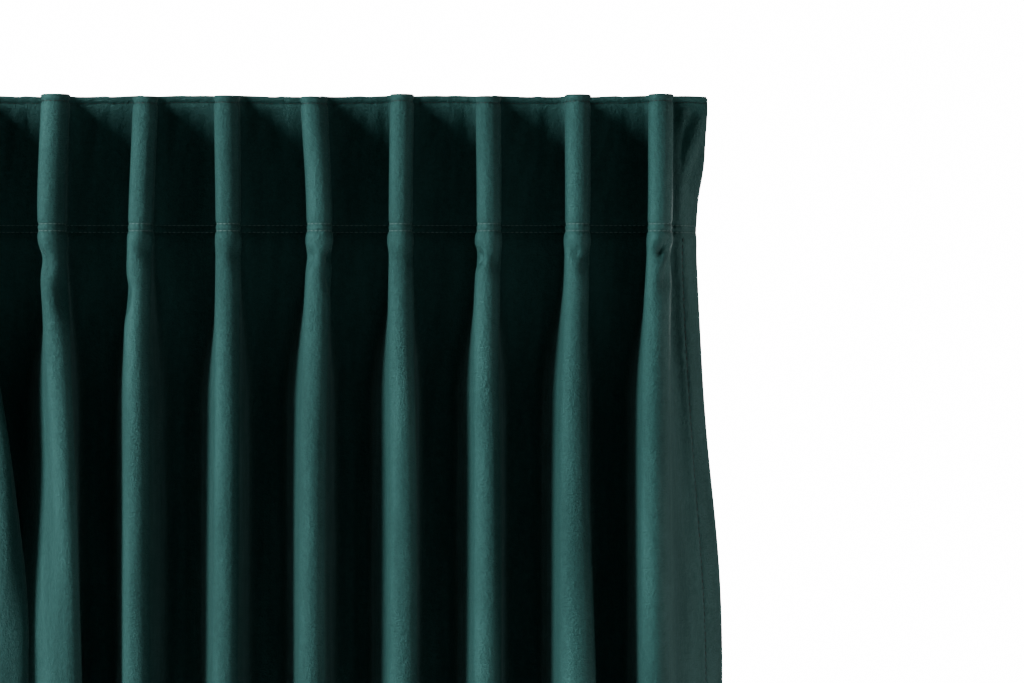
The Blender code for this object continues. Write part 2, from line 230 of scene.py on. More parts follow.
# Creases that the heading's foot presses into the pleats: pleat, depth below the heading, place
# across the nose, how deep, how tall and how wide, in millimetres, and how much they slant.
CREASES = (
    (1, 16, -3, 5.25, 7, 6, 0.3),
    (2, 18, -7, 7.56, 7, 5, 0.2),
    (2, 40, 5, 3.36, 16, 5, 0.0),
    (3, 40, -10, 5.46, 9, 5, 0.0),
    (3, 12, 4, 2.52, 6, 6, 0.0),
    (4, 14, 5, 2.1, 6, 5, 0.2),
    (5, 15, -8, 4.2, 5, 4, 0.0),
    (5, 15, 8, 4.2, 5, 4, 0.0),
    (5, 29, 7, 2.73, 9, 4, 0.3),
    (6, 16, 2, 2.73, 6, 8, 0.0),
    (7, 15, -9, 6.72, 5, 5, 0.0),
    (7, 19, 5, 2.52, 7, 5, 0.4),
    (8, 12, -2, 5.46, 4, 4, 0.5),
    (8, 17, 6, 2.73, 8, 4, -0.3),
    (9, 11, 2, 6.3, 5, 6, -0.6),
    (9, 24, 7, 3.78, 12, 4, -0.3),
)
ROOT_LEAN = 0.0045  # how far the valleys stand to the left of an even place
FIRST_BAY_PULL = 0.95  # how nearly the first bay is pulled flat
FIRST_BAY_DIP = 0.008  # and how far it still dips behind the noses
TOP_STITCH_Z = Z_TOP - 0.0038
HEADING_STITCH_Z = (Z_BASE + 0.0062, Z_BASE + 0.0018)
# How deep the seams draw the cloth in, and how far it swells and waves between them.
TOP_GROOVE = 0.0012
HEADING_GROOVE = 0.0009
SIDE_GROOVE = 0.0008
GROOVE_HALF = 0.0012
TOP_ROLL = 0.0006
SWELL = 0.0011
BAY_WAVE = 0.0012
FLAP_WAVES = (0.0006, 0.0009)
SWING = 0.0011
RIPPLE = 0.0004
NOSE_SWAY = 0.0022
VALLEY_SWAY = 0.0030


def hang(values, depth):
    """A smooth curve through one value at each of the hanging depths."""
    keys = np.array(HANG_DEPTHS)
    values = np.array(values, float)
    slopes = np.gradient(values, keys)
    place = np.clip(np.searchsorted(keys, depth, side="right") - 1, 0, len(keys) - 2)
    span = keys[place + 1] - keys[place]
    t = np.clip((depth - keys[place]) / span, 0, 1)
    rise = values[place] * (1 + 2 * t) * (1 - t) ** 2 + values[place + 1] * t**2 * (3 - 2 * t)
    return rise + span * (slopes[place] * t * (1 - t) ** 2 - slopes[place + 1] * t**2 * (1 - t))


def close_to(z, middle, half):
    """1 at one height, fading to nothing within about twice half of it."""
    return np.exp(-(((z - middle) / half) ** 2))


def relief(number, s, z):
    """How far the cloth is pressed in or stands out from its even path, for one pleat: its
    creases, the grooves of the seams, the swell under the heading and the waves of its bays."""
    pressed = np.zeros_like(s)
    for pleat, below, across, deep, tall, wide, slant in CREASES:
        if pleat == number:
            down = (Z_BASE - z) * 1000 - below
            along = s * 1000 - across - slant * down
            pressed += deep / 1000 * np.exp(-((down / tall) ** 2) - (along / wide) ** 2)
    in_bay = smooth((np.abs(s) - HEAD_SPLIT) / 0.006)
    pressed += TOP_GROOVE * close_to(z, TOP_STITCH_Z, GROOVE_HALF)
    for seam in HEADING_STITCH_Z:
        pressed += (1 - 0.8 * in_bay) * HEADING_GROOVE * close_to(z, seam, GROOVE_HALF)
    pressed -= TOP_ROLL * close_to(z, Z_TOP - 0.0012, 0.0016)
    swell = SWELL * close_to(z, HEADING_STITCH_Z[1] - 0.006, 0.005)
    pressed -= swell * (0.6 + 0.4 * np.sin(s * 420 + number))
    in_heading = smooth((z - Z_BASE) / 0.02) * smooth((TOP_STITCH_Z - z) / 0.012)
    near_top = 0.35 + 0.65 * smooth((z - Z_TOP + 0.065) / 0.05)
    fan = (s + number * 0.013) * (430 + 900 * (Z_TOP - z)) + number * 2.1
    waves = np.sin(fan) + 0.6 * np.sin(s * 250 + z * 50 + number)
    return pressed + BAY_WAVE * in_bay * in_heading * near_top * waves


def flap_relief(s, z):
    """The same for an outer flap: the groove of its side seam and its soft ripples."""
    distance = np.abs(s)
    groove = np.exp(-(((distance - SIDE_SEAM) / 0.0011) ** 2)) * smooth((Z_BASE - z) / 0.01)
    in_head = smooth((distance - HEAD_SPLIT) / 0.01) * smooth((Z_TOP - 0.01 - z) / 0.03)
    in_head = in_head * np.sin((Z_TOP - z) * 38 + s * 90)
    in_fall = smooth((Z_BASE - z) / 0.1) * np.sin(distance * 60 + z * 5)
    return SIDE_GROOVE * groove + FLAP_WAVES[0] * in_head + FLAP_WAVES[1] * in_fall


TOP_RISES = (0.2, 0.6, -0.9, -0.4, -1.1, 0.5, -0.8, 0.3, 0.6)  # of each pleat, in millimetres
BAY_RISE = 0.0013


def top_rise(number, s, z):
    """How far the top edge stands off its line: each pleat keeps its own height, and the bays
    stand a little over the pleats, which the sewing draws down."""
    hold = smooth((z - Z_TOP + 0.05) / 0.05)
    at_pleat = np.exp(-((s / 0.030) ** 4))
    in_bay = BAY_RISE + 0.0004 * np.sin(s * 130 + number * 2.2)
    return hold * mix(in_bay, TOP_RISES[number - 1] / 1000, at_pleat)


def drift(number, s, z):
    """Slow unevenness of the hanging cloth, towards the back."""
    along = s + (number - (PLEATS + 1) / 2) * 2 * HALF_CLOTH
    loose = smooth((Z_BASE - z) / 0.09)
    swing = np.array([noise.noise(Vector((u * 16, h * 7, 4.2))) for u, h in zip(along, z)])
    ripple = np.array([noise.noise(Vector((u * 55, h * 30, 9.1))) for u, h in zip(along, z)])
    return loose * (SWING * swing + RIPPLE * ripple)


def cloth_point(number, s, z, off):
    """Where the cloth lies for one pleat: s is the distance from its nose, negative to the left,
    z the height and off the distance behind the cloth's own middle."""
    s, z, off = np.broadcast_arrays(*(np.asarray(value, float) for value in (s, z, off)))
    side = np.where(s < 0, -1.0, 1.0)
    distance = np.abs(s)
    outer = (number == 1 and side[0] < 0) or (number == PLEATS and side[0] > 0)
    head, low = flap_paths(float(z.mean())) if outer else (HEAD_PATH, FOLD_PATH)
    share = smooth((Z_BASE - z) / FLARE) if outer else opened(z)
    head_point, low_point = walk(head, distance), walk(low, distance)
    x, y, heading = (mix(first, second, share) for first, second in zip(head_point, low_point))
    off = off + relief(number, s, z)
    if outer:
        off = off + flap_relief(s, z)
    depth = Z_TOP - z
    if (number == 1 and not outer) or (number == 2 and side[0] < 0):
        spread = distance / HALF_CLOTH
        pulled = FIRST_BAY_PULL * smooth((depth - 0.15) / 0.20)
        pulled = pulled * (1 - 0.6 * smooth((depth - 0.8) / 0.6))
        x = mix(x, PITCH / 2 * spread, pulled)
        y = mix(y, FIRST_BAY_DIP * smooth(spread) - PLEAT_DEPTH, pulled)
    proud = np.clip(-y / PLEAT_DEPTH, 0, 1)
    x = x - off * np.sin(heading)
    y = y + off * np.cos(heading)
    near = 1 - smooth((distance - COLUMN_HALF) / (HALF_CLOTH - COLUMN_HALF))
    x = side * x * (1 + (hang(WIDTHS[number - 1], depth) - 1) * near * proud)
    x = x + hang(LEANS[number - 1], depth) / 1000 * proud
    if not outer:
        x = x - ROOT_LEAN * opened(z) * (1 - proud)
    fall = smooth((Z_BASE - z) / 0.2)
    y = y + NOSE_SWAY * fall * proud * np.sin(depth * 5.1 + number * 1.9)
    y = y + VALLEY_SWAY * fall * (1 - proud) * np.sin(depth * 3.3 + number * 2.6 + side * 0.4)
    y = y + drift(number, s, z)
    return pleat_x[number - 1] + x, HEAD_Y + y, z + top_rise(number, s, z)


def drawn_share(number, s, z):
    """How much of the far end's travel a point of the cloth takes as the panel is drawn: the same
    all over a pleat, and evenly less across the bay to the next one."""
    s = np.asarray(s, float)
    distance = np.abs(s)
    x = mix(walk(HEAD_PATH, distance)[0], walk(FOLD_PATH, distance)[0], opened(z))
    edge = mix(WING_X, FOLD_NOSE_RADIUS + 0.0005, opened(z))
    into_bay = np.clip((x - edge) / (PITCH / 2 - edge), 0, 1) / 2
    outer = (s < 0) if number == 1 else (s > 0) if number == PLEATS else np.zeros_like(s, bool)
    into_bay = np.where(outer | (distance < FOLD_NOSE_RADIUS), 0, into_bay)
    return (PLEATS - number - np.sign(s) * into_bay) / (PLEATS - 1)


def half_stations():
    """Distances from a pleat's nose of the columns up to the end of its neck."""
    nose, flank, corner = (length for length, _ in NECK_PATH)
    parts = ((0, nose, 5), (nose, nose + flank, 4), (nose + flank, NECK_END, 3))
    stations = [mix(first, last, i / n) for first, last, n in parts for i in range(n)]
    return stations + [NECK_END]


def edge_columns():
    """Columns from the foot of an outer pleat to the panel's edge, round it and back along the
    side hem: distance from the nose, stand-off, stand-off once the foot or the top is turned up
    over it, and distance along the cloth."""
    radius = LAYER / 2
    edge = FLAP_CLOTH - radius
    round_seam = [SIDE_SEAM + step for step in (-0.0018, -0.0008, 0, 0.0008, 0.0018)]
    distances = [HEAD_SPLIT, mix(HEAD_SPLIT, SIDE_SEAM, 0.4), *round_seam]
    distances += [mix(round_seam[-1], edge, i / 5) for i in range(1, 6)]
    columns = [(distance, 0.0) for distance in distances]
    columns += [
        (edge + radius * math.sin(turn), radius * (1 - math.cos(turn)))
        for turn in (math.radians(angle) for angle in (36, 72, 108, 144))
    ]
    columns += [(mix(edge, SIDE_HEM_START, i / 5), LAYER) for i in range(6)]
    made, along = [], HEAD_SPLIT
    for i, (distance, off) in enumerate(columns):
        if i:
            along += math.dist((distance, off), columns[i - 1])
        under_hem = float(smooth((distance - NECK_END) / (SIDE_HEM_START - NECK_END)))
        turned = mix(LAYER, 3 * LAYER, under_hem) if off == 0 else 3 * LAYER - off
        made.append((distance, off, turned, along))
    return made


half = half_stations()
bay_half = [mix(NECK_END, HALF_CLOTH, i / 5) for i in range(1, 6)]
columns = []
for number in range(1, PLEATS + 1):
    left = [(-d, 0.0, LAYER, -d) for d in [*bay_half[:-1][::-1], *half[:0:-1]]]
    right = [(d, 0.0, LAYER, d) for d in [*half, *bay_half]]
    if number == 1:
        ends = [(-d, off, turned, -along) for d, off, turned, along in edge_columns()[::-1]]
        left = ends + [(-d, 0.0, LAYER, -d) for d in half[:0:-1]]
    if number == PLEATS:
        right = [(d, 0.0, LAYER, d) for d in half] + edge_columns()
    columns += [(number, *column) for column in [*left, *right]]
column_pleat, column_s, column_off, column_turned, column_u = (np.array(c) for c in zip(*columns))
column_pleat = column_pleat.astype(int)
column_u = column_u + (column_pleat - (PLEATS + 1) / 2) * 2 * HALF_CLOTH
on_front = column_off == 0.0


def spaced(first, last, step):
    count = max(1, round(abs(last - first) / step))
    return [mix(first, last, i / count) for i in range(count)]


def cloth_rows():
    """(height, kind, turn) of each row, from the turned top, over it, down the front, round the
    foot and up the foot hem."""
    rows = [(Z_TOP - TOP_TURN, "top", math.pi), (Z_TOP - 0.0035, "top", math.pi)]
    rows += [(Z_TOP, "top_round", math.radians(angle)) for angle in (180, 144, 108, 72, 36)]
    heights = [Z_TOP - 0.0030, TOP_STITCH_Z, Z_TOP - 0.0052, Z_TOP - 0.007]
    heights += spaced(Z_TOP - 0.010, HEADING_STITCH_Z[0] + 0.004, 0.0065)
    upper, lower = HEADING_STITCH_Z
    heights += [upper + 0.002, upper + 0.0009, upper, upper - 0.0009, (upper + lower) / 2]
    heights += [lower + 0.0009, lower, lower - 0.0009, lower - 0.002]
    heights += spaced(lower - 0.0045, Z_BASE - 0.055, 0.0032)
    heights += spaced(Z_BASE - 0.055, Z_BASE - 0.16, 0.0062)
    heights += spaced(Z_BASE - 0.16, Z_TOP - 0.50, 0.011)
    heights += spaced(Z_TOP - 0.50, Z_FOOT + FOOT_HEM, 0.055)
    heights += spaced(Z_FOOT + FOOT_HEM, Z_FOOT + 0.004, 0.024)
    rows += [(z, "front", 0.0) for z in [*heights, Z_FOOT + 0.004]]
    rows += [(Z_FOOT, "foot_round", math.radians(angle)) for angle in (0, 36, 72, 108, 144, 180)]
    rows += [(Z_FOOT + z, "foot", math.pi) for z in (0.004, 0.03, 0.06, FOOT_HEM)]
    return rows


def cloth_grid(pleats, s, rows_of):
    """Vertices and drawn shares of a surface; rows_of gives each row's heights and stand-offs."""
    points, shares = [], []
    for z, off in rows_of:
        row = np.zeros((len(s), 3))
        share = np.zeros(len(s))
        for number in range(1, PLEATS + 1):
            for chosen in ((pleats == number) & (s < 0), (pleats == number) & (s >= 0)):
                if not chosen.any():
                    continue
                spots = cloth_point(number, s[chosen], z[chosen], off[chosen])
                row[chosen] = np.stack(spots, axis=1)
                share[chosen] = drawn_share(number, s[chosen], z[chosen])
        points.append(row)
        shares.append(share)
    return np.array(points), np.array(shares)


def sheet_mesh(name, points, shares, u, v):
    """A grid of quads that faces the front, with its UV map in metres of cloth and the drawn
    share of each point."""
    row_count, column_count = shares.shape
    index = np.arange(row_count * column_count).reshape(row_count, column_count)
    upper, lower = index[:-1], index[1:]
    faces = np.stack([lower[:, :-1], lower[:, 1:], upper[:, 1:], upper[:, :-1]], axis=-1)
    faces = faces.reshape(-1, 4)
    mesh = bpy.data.meshes.new(name)
    mesh.from_pydata(points.reshape(-1, 3).tolist(), [], faces.tolist())
    layer = mesh.uv_layers.new(name="cloth")
    flat = np.stack([np.broadcast_to(u, shares.shape), v], axis=-1).reshape(-1, 2)
    layer.data.foreach_set("uv", flat[faces.reshape(-1)].astype(np.float32).reshape(-1))
    attribute = mesh.attributes.new("drawn", "FLOAT", "POINT")
    attribute.data.foreach_set("value", shares.reshape(-1).astype(np.float32))
    mesh.update()
    return mesh


def new_piece(name, mesh, *materials):
    piece = bpy.data.objects.new(name, mesh)
    bpy.context.scene.collection.objects.link(piece)
    for material in materials:
        mesh.materials.append(material)
    return piece


def settled(piece):
    """The piece with its modifiers made part of its mesh."""
    bpy.context.view_layer.update()
    graph = bpy.context.evaluated_depsgraph_get()
    mesh = bpy.data.meshes.new_from_object(piece.evaluated_get(graph))
    mesh.name = piece.name
    piece.modifiers.clear()
    piece.data = mesh
    return piece


def thickened(piece, thickness, back_material):
    wall = piece.modifiers.new("thickness", "SOLIDIFY")
    wall.thickness = thickness
    wall.offset = 0
    wall.use_quality_normals = True
    wall.material_offset = back_material
    settled(piece)
    for face in piece.data.polygons:
        face.use_smooth = True
    return piece


def draw_with_panel(piece):
    """The piece's placement made part of its mesh, and its drawn shares taken off it."""
    shares = np.zeros(len(piece.data.vertices), np.float32)
    piece.data.attributes["drawn"].data.foreach_get("value", shares)
    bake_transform(piece)
    piece.data.attributes.remove(piece.data.attributes["drawn"])


def new_material(name):
    material = bpy.data.materials.new(name)
    material.use_nodes = True
    nodes, links = material.node_tree.nodes, material.node_tree.links
    return material, nodes, links, nodes["Principled BSDF"]


def noise_on(nodes, links, place, stretch, scale, detail, rough=0.55):
    """A noise texture on a place, stretched by stretch."""
    mapping = nodes.new("ShaderNodeMapping")
    mapping.inputs["Scale"].default_value = (*stretch, 1.0)
    links.new(place, mapping.inputs["Vector"])
    made = nodes.new("ShaderNodeTexNoise")
    made.inputs["Scale"].default_value = scale
    made.inputs["Detail"].default_value = detail
    made.inputs["Roughness"].default_value = rough
    links.new(mapping.outputs["Vector"], made.inputs["Vector"])
    return made.outputs["Fac"]


def ramp_of(nodes, links, value, stops):
    """A colour ramp of (position, linear colour) stops."""
    ramp = nodes.new("ShaderNodeValToRGB")
    while len(ramp.color_ramp.elements) < len(stops):
        ramp.color_ramp.elements.new(0.5)
    for element, (position, colour) in zip(ramp.color_ramp.elements, stops):
        element.position = position
        element.color = (*colour, 1)
    links.new(value, ramp.inputs["Fac"])
    return ramp.outputs["Color"]


def blended_value(nodes, links, first, second, share):
    """share of the second value and the rest of the first."""
    made = nodes.new("ShaderNodeMix")
    made.inputs["Factor"].default_value = share
    links.new(first, made.inputs["A"])
    links.new(second, made.inputs["B"])
    return made.outputs["Result"]


def ranged(nodes, links, value, from_range, to_range):
    """A value taken from one range to another."""
    made = nodes.new("ShaderNodeMapRange")
    for name, limit in zip(("From Min", "From Max", "To Min", "To Max"), (*from_range, *to_range)):
        made.inputs[name].default_value = limit
    links.new(value, made.inputs["Value"])
    return made.outputs["Result"]


def threads_on(nodes, links, place, direction, scale, distortion, detail=2):
    """Woven threads side by side."""
    made = nodes.new("ShaderNodeTexWave")
    made.bands_direction = direction
    made.inputs["Scale"].default_value = scale
    made.inputs["Distortion"].default_value = distortion
    made.inputs["Detail"].default_value = detail
    links.new(place, made.inputs["Vector"])
    return made.outputs["Fac"]


def bump_of(nodes, links, height, strength, distance, under=None):
    bump = nodes.new("ShaderNodeBump")
    bump.inputs["Strength"].default_value = strength
    bump.inputs["Distance"].default_value = distance
    links.new(height, bump.inputs["Height"])
    if under is not None:
        links.new(under, bump.inputs["Normal"])
    return bump.outputs["Normal"]


def uv_place(nodes, name):
    place = nodes.new("ShaderNodeUVMap")
    place.uv_map = name
    return place.outputs["UV"]


def velvet_pile():
    """Short cut pile, dark green, in patches of random tone; the lighter patches are partly painted
    sheen, standing for pile brushed the other way that catches more light.
    """
    material, nodes, links, shader = new_material("green velvet pile")
    place = uv_place(nodes, "cloth")
    brushed = noise_on(nodes, links, place, (1.0, 0.16), 42, 4, 0.6)
    mottled = noise_on(nodes, links, place, (1.0, 0.8), 300, 5, 0.65)
    tufts = noise_on(nodes, links, place, (1.0, 1.0), 800, 4, 0.75)
    fine = blended_value(nodes, links, mottled, tufts, 0.6)
    pile_tone_and_painted_sheen = blended_value(nodes, links, brushed, fine, 0.5)
    # Painted sheen: the colour ramp lightens the pile where this noise is high, for pile brushed
    # the other way, over its own random tone.
    colour = ramp_of(nodes, links, pile_tone_and_painted_sheen, (
        (0.34, (0.001, 0.007, 0.0065)),
        (0.50, (0.003, 0.016, 0.015)),
        (0.66, (0.008, 0.033, 0.030)),
    ))
    links.new(colour, shader.inputs["Base Color"])
    rough = ranged(nodes, links, pile_tone_and_painted_sheen, (0.42, 0.58), (0.74, 0.48))
    links.new(rough, shader.inputs["Roughness"])
    soft = bump_of(nodes, links, brushed, 0.25, 0.0012)
    soft = bump_of(nodes, links, mottled, 0.6, 0.0016, soft)
    links.new(bump_of(nodes, links, tufts, 0.9, 0.0008, soft), shader.inputs["Normal"])
    shader.inputs["Specular IOR Level"].default_value = 0.8
    shader.inputs["Specular Tint"].default_value = (0.30, 0.86, 0.81, 1)
    shader.inputs["Sheen Weight"].default_value = 0.22
    shader.inputs["Sheen Roughness"].default_value = 0.2
    shader.inputs["Sheen Tint"].default_value = (0.42, 0.80, 0.77, 1)
    return material


def velvet_reverse():
    """The flat woven back of the velvet, matt and a little greyer than its pile."""
    material, nodes, links, shader = new_material("velvet reverse")
    place = uv_place(nodes, "cloth")
    threads = [threads_on(nodes, links, place, direction, 330, 0.6, 1) for direction in "XY"]
    weave = blended_value(nodes, links, *threads, 0.5)
    slubs = noise_on(nodes, links, place, (1.0, 0.2), 180, 4)
    colour = ramp_of(nodes, links, blended_value(nodes, links, weave, slubs, 0.6), (
        (0.25, (0.030, 0.062, 0.058)),
        (0.55, (0.052, 0.098, 0.092)),
        (0.80, (0.082, 0.138, 0.130)),
    ))
    links.new(colour, shader.inputs["Base Color"])
    links.new(bump_of(nodes, links, weave, 0.5, 0.0002), shader.inputs["Normal"])
    shader.inputs["Roughness"].default_value = 0.9
    shader.inputs["Specular IOR Level"].default_value = 0.15
    shader.inputs["Sheen Weight"].default_value = 0.15
    return material


pile = velvet_pile()
reverse = velvet_reverse()

turn_radius = (column_turned - column_off) / 2
cloth_rows_at, cloth_v = [], []
for z, kind, turn in cloth_rows():
    if kind == "front":
        heights, offs, v = np.full(len(column_s), z), column_off, z
    elif kind in ("top", "foot"):
        edge = Z_TOP if kind == "top" else Z_FOOT
        heights, offs, v = np.full(len(column_s), z), column_turned, 2 * edge - z
    else:
        up = 1 if kind == "top_round" else -1
        edge = Z_TOP if up > 0 else Z_FOOT
        heights = edge - up * turn_radius * (1 - math.sin(turn))
        offs = column_off + turn_radius * (1 - math.cos(turn))
        v = edge + up * LAYER * turn / math.pi
    cloth_rows_at.append((heights, offs))
    cloth_v.append(np.full(len(column_s), v))
cloth_points, cloth_shares = cloth_grid(column_pleat, column_s, cloth_rows_at)
velvet = new_piece(
    "velvet_panel",
    sheet_mesh("velvet_panel", cloth_points, cloth_shares, column_u, np.array(cloth_v)),
    pile,
    reverse,
)
thickened(velvet, CLOTH, 1)
draw_with_panel(velvet)
cloth_nodes = [f"pleat_{number}" for number in range(1, PLEATS + 1)]
cloth_nodes += [f"bay_{number}" for number in range(1, PLEATS)]
cloth_nodes += ["left_flap", "right_flap", "left_side_hem", "right_side_hem"]
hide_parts(*cloth_nodes)

# ---------------------------------------------------------------------------------------------
# THE HEADING TAPE. A stiff woven cotton tape sewn along the back of the head and folded over the
# side hems at its ends. It runs through every pleat with the velvet and keeps it upright.
# ---------------------------------------------------------------------------------------------
TAPE = 0.0008
TAPE_GAP = 0.0003
TAPE_OFF = CLOTH / 2 + TAPE_GAP + TAPE / 2
TAPE_END_OFF = LAYER + TAPE_OFF + TAPE_GAP
TAPE_ROWS = 14


def woven_tape():
    """Close white cotton ribs across the tape, with finer picks along it."""
    material, nodes, links, shader = new_material("woven heading tape")
    place = uv_place(nodes, "cloth")
    ribs = threads_on(nodes, links, place, "X", 190, 0.4)
    picks = threads_on(nodes, links, place, "Y", 310, 0.5)
    weave = blended_value(nodes, links, ribs, picks, 0.45)
    lint = noise_on(nodes, links, place, (1.0, 1.0), 240, 5)
    colour = ramp_of(nodes, links, blended_value(nodes, links, weave, lint, 0.5), (
        (0.20, (0.30, 0.30, 0.275)),
        (0.55, (0.53, 0.53, 0.49)),
        (0.85, (0.66, 0.66, 0.62)),
    ))
    links.new(colour, shader.inputs["Base Color"])
    links.new(bump_of(nodes, links, weave, 0.7, 0.0003), shader.inputs["Normal"])
    shader.inputs["Roughness"].default_value = 0.88
    shader.inputs["Sheen Weight"].default_value = 0.2
    return material


tape_cotton = woven_tape()
tape_pleat, tape_s, tape_u = column_pleat[on_front], column_s[on_front], column_u[on_front]
outer_side = ((tape_pleat == 1) & (tape_s < 0)) | ((tape_pleat == PLEATS) & (tape_s > 0))
over_hem = smooth((np.abs(tape_s) - NECK_END) / (SIDE_HEM_START - NECK_END))
tape_off = mix(TAPE_OFF, TAPE_END_OFF, np.where(outer_side, over_hem, 0))
tape_heights = [mix(Z_TAPE_TOP, Z_BASE, i / TAPE_ROWS) for i in range(TAPE_ROWS + 1)]
tape_points, tape_shares = cloth_grid(
    tape_pleat, tape_s, [(np.full(len(tape_s), z), tape_off) for z in tape_heights]
)
tape_v = np.repeat(np.array(tape_heights)[:, None], len(tape_s), axis=1)
tape = new_piece(
    "heading_tape",
    sheet_mesh("heading_tape", tape_points, tape_shares, tape_u, tape_v),
    tape_cotton,
)
thickened(tape, TAPE, 0)
draw_with_panel(tape)
tape_nodes = [f"tape_pleat_{number}" for number in range(1, PLEATS + 1)]
tape_nodes += [f"tape_bay_{number}" for number in range(1, PLEATS)]
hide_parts(*tape_nodes, "tape_left_end", "tape_right_end")

# ---------------------------------------------------------------------------------------------
# THE HOOK POCKETS. Behind each pleat's neck the tape carries a woven pocket, flat at its sides and
# standing off in the middle, that the foot of a hook slides up into.
# ---------------------------------------------------------------------------------------------
POCKET_HEIGHT = 0.022
POCKET_ABOVE_BASE = 0.008
POCKET_WALL = 0.001
POCKET_HALF = 0.0082
POCKET_SIDE = 0.0009  # how thick its flat sides are
POCKET_GAP = 0.0001
POCKET_SHOULDER = 0.0014  # the width over which it rises from its sides
POCKET_STEPS = 24
STEM_CLEARANCE = 0.0004
STEM_THICKNESS = 0.0018
SLIDER_WALL = 0.0008  # of the slider, in front of the stem

stem_low, stem_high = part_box("hook_stem_5")
tape_back = HEAD_Y + TAPE_OFF + TAPE / 2
half_in = (stem_high.x - stem_low.x) / 2 + STEM_CLEARANCE
rear_in = tape_back + SLIDER_WALL + STEM_THICKNESS + 3 * STEM_CLEARANCE


def body_of_pleat(number):
    ends = {1: "left_end", PLEATS: "right_end"}
    return ends.get(number, f"pleat_column_{number}")


def pocket_back():
    """The back of the pocket across its width, as (x, y)."""
    line = []
    shoulder = half_in + POCKET_WALL + 0.0006
    for i in range(POCKET_STEPS + 1):
        x = mix(-POCKET_HALF, POCKET_HALF, i / POCKET_STEPS)
        raised = float(smooth((shoulder - abs(x)) / POCKET_SHOULDER))
        line.append((x, mix(tape_back + POCKET_SIDE, rear_in + POCKET_WALL, raised)))
    return line


def pocket_mesh(number):
    """A closed woven band: its front lies on the tape and its middle stands round the stem."""
    outer = pocket_back()
    front = tape_back + POCKET_GAP
    low = Z_BASE + POCKET_ABOVE_BASE
    rows = [low + POCKET_HEIGHT * share for share in (0, 0.02, 0.1, 0.5, 0.9, 0.98, 1)]
    shape = bmesh.new()
    profile = [*outer, (POCKET_HALF, front), (half_in, front), (half_in, rear_in)]
    profile += [(-half_in, rear_in), (-half_in, front), (-POCKET_HALF, front)]
    rings = []
    for i, z in enumerate(rows):
        drawn_in = 0.0002 if i in (0, len(rows) - 1) else 0.0
        rings.append([
            shape.verts.new((pleat_x[number - 1] + x, y - drawn_in * (y > rear_in), z))
            for x, y in profile
        ])
    count = len(profile)
    for upper, lower in zip(rings[1:], rings):
        for i in range(count):
            j = (i + 1) % count
            shape.faces.new((lower[i], lower[j], upper[j], upper[i]))
    last = len(outer)
    side = max(i for i, (x, _) in enumerate(outer) if x < -half_in) + 1
    for ring, flip in ((rings[0], False), (rings[-1], True)):
        left = [*range(side + 1), last + 3, last + 4, last + 5]
        right = [*range(last - side - 1, last), last, last + 1, last + 2]
        centre = [*range(side, last - side), last + 2, last + 3]
        for loop in (left, right, centre):
            corners = [ring[i] for i in loop]
            shape.faces.new(corners[::-1] if flip else corners)
    bmesh.ops.recalc_face_normals(shape, faces=shape.faces)
    mesh = bpy.data.meshes.new(f"tape_pocket_{number}")
    shape.to_mesh(mesh)
    shape.free()
    layer = mesh.uv_layers.new(name="cloth")
    for loop in mesh.loops:
        spot = mesh.vertices[loop.vertex_index].co
        layer.data[loop.index].uv = (spot.x, spot.z)
    return mesh


for number in range(1, PLEATS + 1):
    pocket = new_piece(f"tape_pocket_{number}", pocket_mesh(number), tape_cotton)
    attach(pocket, body_of_pleat(number))

# ---------------------------------------------------------------------------------------------
# THE SEWING. Polyester thread in machine stitches: one row holds the turned top, two rows the
# foot of the heading, in green thread painted lighter as a highlight along the seam, and one row
# each the side hems and the foot hem. White thread holds the tape.
# ---------------------------------------------------------------------------------------------
STITCH_THREAD = 0.00050
HEADING_THREAD = 0.00058
SIDE_THREAD = 0.00075
STITCH_PITCH = 0.0030
STITCH_LENGTH = 0.0026
HEM_STITCH_PITCH = 0.0042
FOOT_STITCH_LENGTH = 0.0030
SIDE_STITCH_LENGTH = 0.0029
SIDE_STITCH_POINTS = 420
FOOT_STITCH_IN = 0.004
TAPE_STITCH_IN = 0.0022
SEAM_STEPS = 5


def thread_material(name, dark, light):
    material, nodes, links, shader = new_material(name)
    place = nodes.new("ShaderNodeTexCoord").outputs["Object"]
    twist = noise_on(nodes, links, place, (1.0, 1.0), 900, 2)
    colour = ramp_of(nodes, links, twist, ((0.35, dark), (0.65, light)))
    links.new(colour, shader.inputs["Base Color"])
    shader.inputs["Roughness"].default_value = 0.5
    shader.inputs["Specular IOR Level"].default_value = 0.35
    return material


